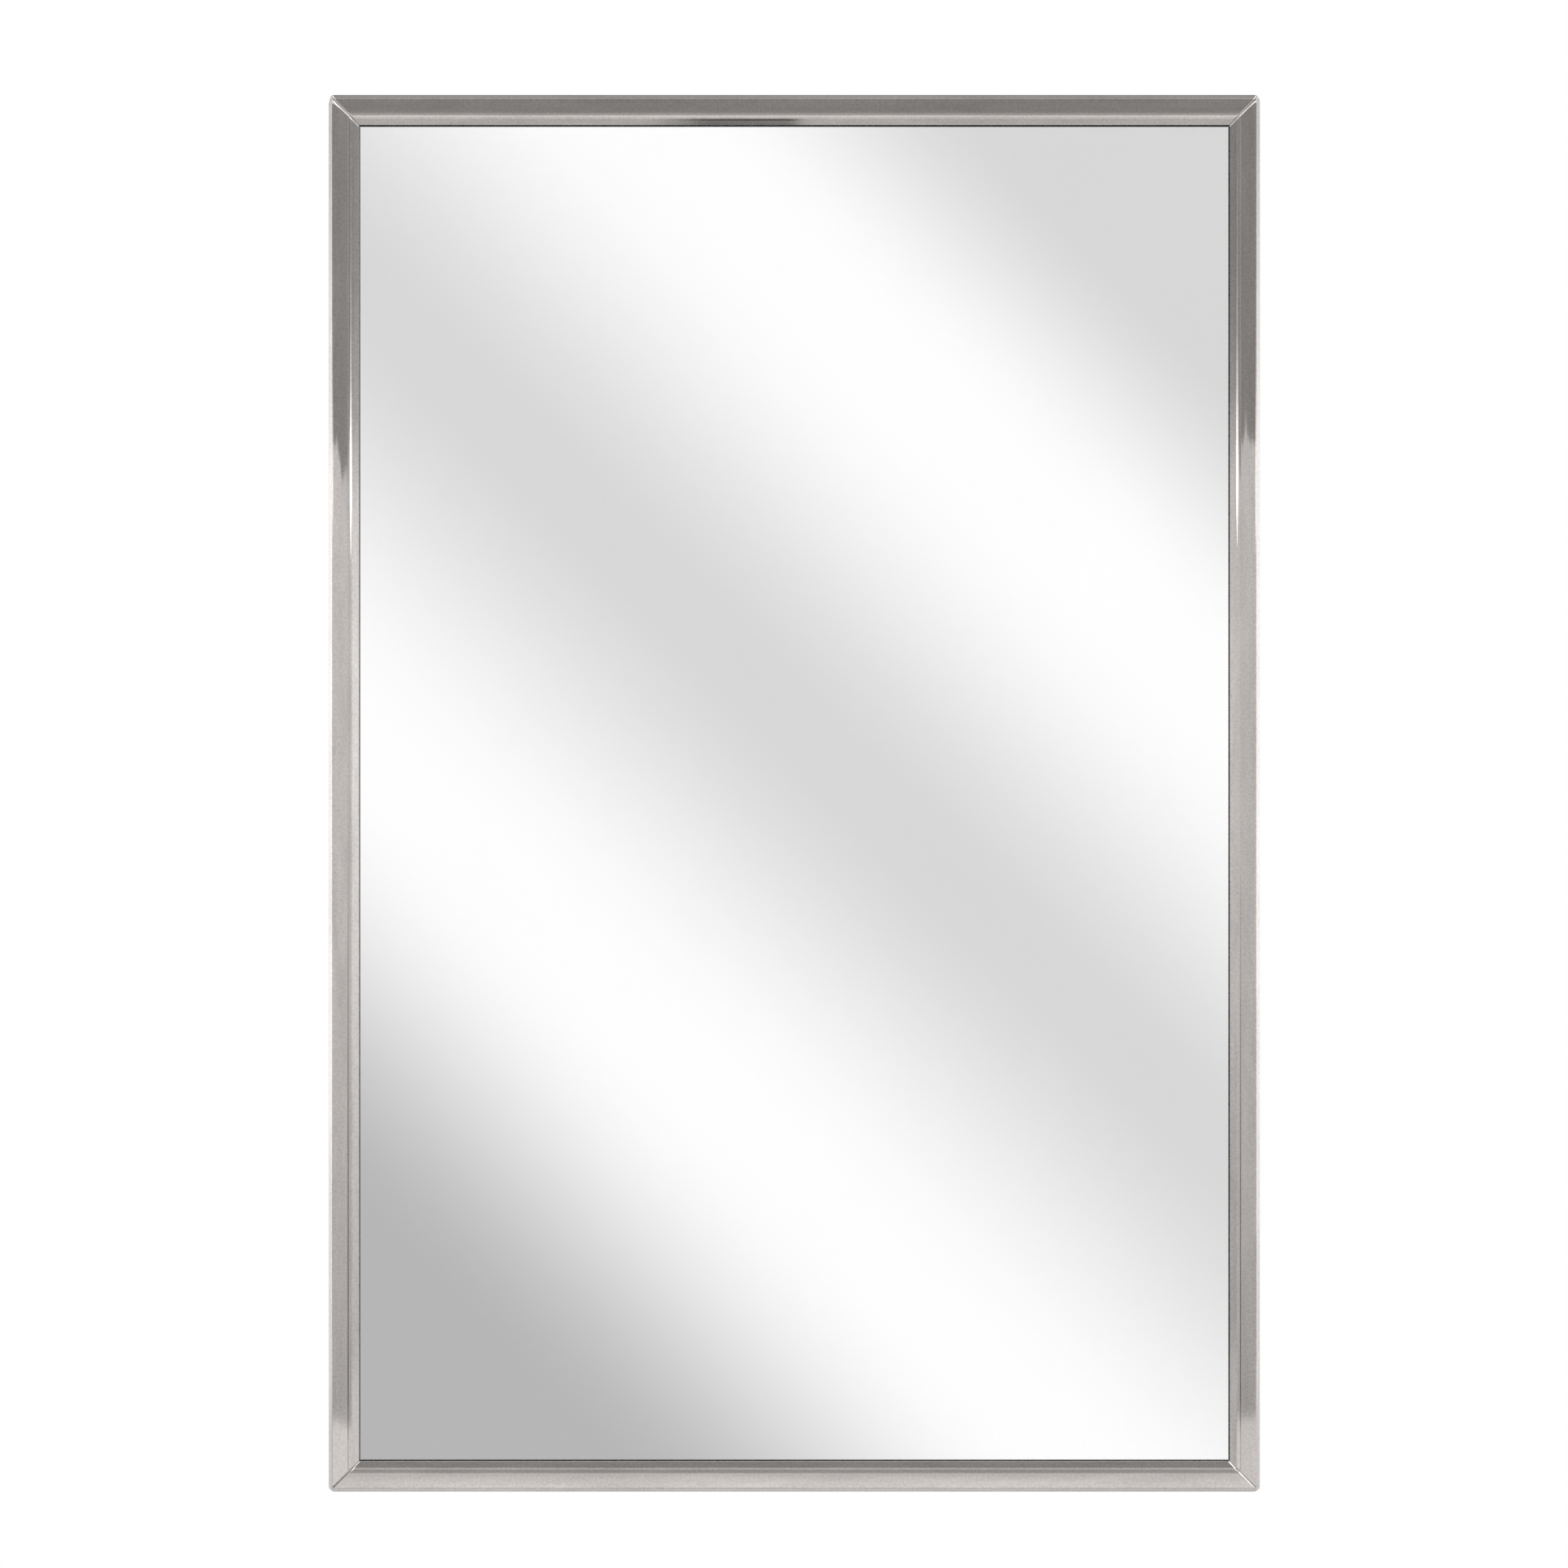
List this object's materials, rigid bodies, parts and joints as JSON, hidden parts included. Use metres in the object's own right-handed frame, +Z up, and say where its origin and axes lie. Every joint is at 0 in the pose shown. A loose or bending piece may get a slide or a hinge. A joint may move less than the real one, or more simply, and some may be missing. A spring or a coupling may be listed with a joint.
{
  "type": "medicine cabinet",
  "caption": "Shallow wall-hung steel medicine cabinet whose whole front is a framed mirror door on a piano hinge, with lift-off glass shelves behind.",
  "frame": {"origin": "centre of the back panel's rear face, on the wall", "axes": "+X to the right seen from the front, +Y into the wall, +Z up; the mirror faces -Y"},
  "size_m": [0.4064, 0.118, 0.6096],
  "materials": {
    "frame_stainless": "bright roll-formed stainless steel",
    "mirror": "silvered float glass",
    "backing_board": "corrugated board",
    "white_enamel": "white baked enamel on steel sheet",
    "hinge_steel": "bright rolled steel",
    "zinc_steel": "zinc plate",
    "standard_steel": "bright zinc on roll-formed steel",
    "cushion_rubber": "soft matt rubber",
    "bumper_rubber": "soft matt rubber",
    "shelf_glass": "clear, ground edges",
    "catch_plastic": "moulded",
    "magnet_ferrite": "sintered ferrite"
  },
  "bodies": {
    "cabinet": {"body_left": "white_enamel", "body_right": "white_enamel", "body_top": "white_enamel", "body_bottom": "white_enamel", "body_back": "white_enamel", "hinge_body_leaf": "hinge_steel", "hinge_pin": "hinge_steel", "catch_holder": "catch_plastic", "catch_magnet": "magnet_ferrite", "catch_pole_plates": "zinc_steel", "door_bumpers": "bumper_rubber", "shelf_standard_left_front": "standard_steel", "shelf_standard_left_rear": "standard_steel", "shelf_standard_right_front": "standard_steel", "shelf_standard_right_rear": "standard_steel", "shelf_clips_lower": "standard_steel", "shelf_clips_middle": "standard_steel", "shelf_clips_upper": "standard_steel", "shelf_cushions_lower": "cushion_rubber", "shelf_cushions_middle": "cushion_rubber", "shelf_cushions_upper": "cushion_rubber"},
    "door": {"door_rail_left": "frame_stainless", "door_rail_right": "frame_stainless", "door_rail_top": "frame_stainless", "door_rail_bottom": "frame_stainless", "corner_keys": "zinc_steel", "mirror_pane": "mirror", "backing_board": "backing_board", "door_back_panel": "white_enamel", "hinge_door_leaf": "hinge_steel", "strike_plate": "zinc_steel"},
    "shelf_lower": {"shelf_lower": "shelf_glass"},
    "shelf_middle": {"shelf_middle": "shelf_glass"},
    "shelf_upper": {"shelf_upper": "shelf_glass"}
  },
  "joints": [
    {"name": "door_swing", "type": "hinge", "parent": "cabinet", "child": "door", "pos_m": [-0.201, -0.10355, 0], "axis": [0, 0, -1], "range_deg": [0, 170]},
    {"name": "shelf_lower_lift", "type": "slide", "parent": "cabinet", "child": "shelf_lower", "axis": [0, 0, 1], "range_m": [0, 0.02]},
    {"name": "shelf_middle_lift", "type": "slide", "parent": "cabinet", "child": "shelf_middle", "axis": [0, 0, 1], "range_m": [0, 0.02]},
    {"name": "shelf_upper_lift", "type": "slide", "parent": "cabinet", "child": "shelf_upper", "axis": [0, 0, 1], "range_m": [0, 0.02]}
  ]
}
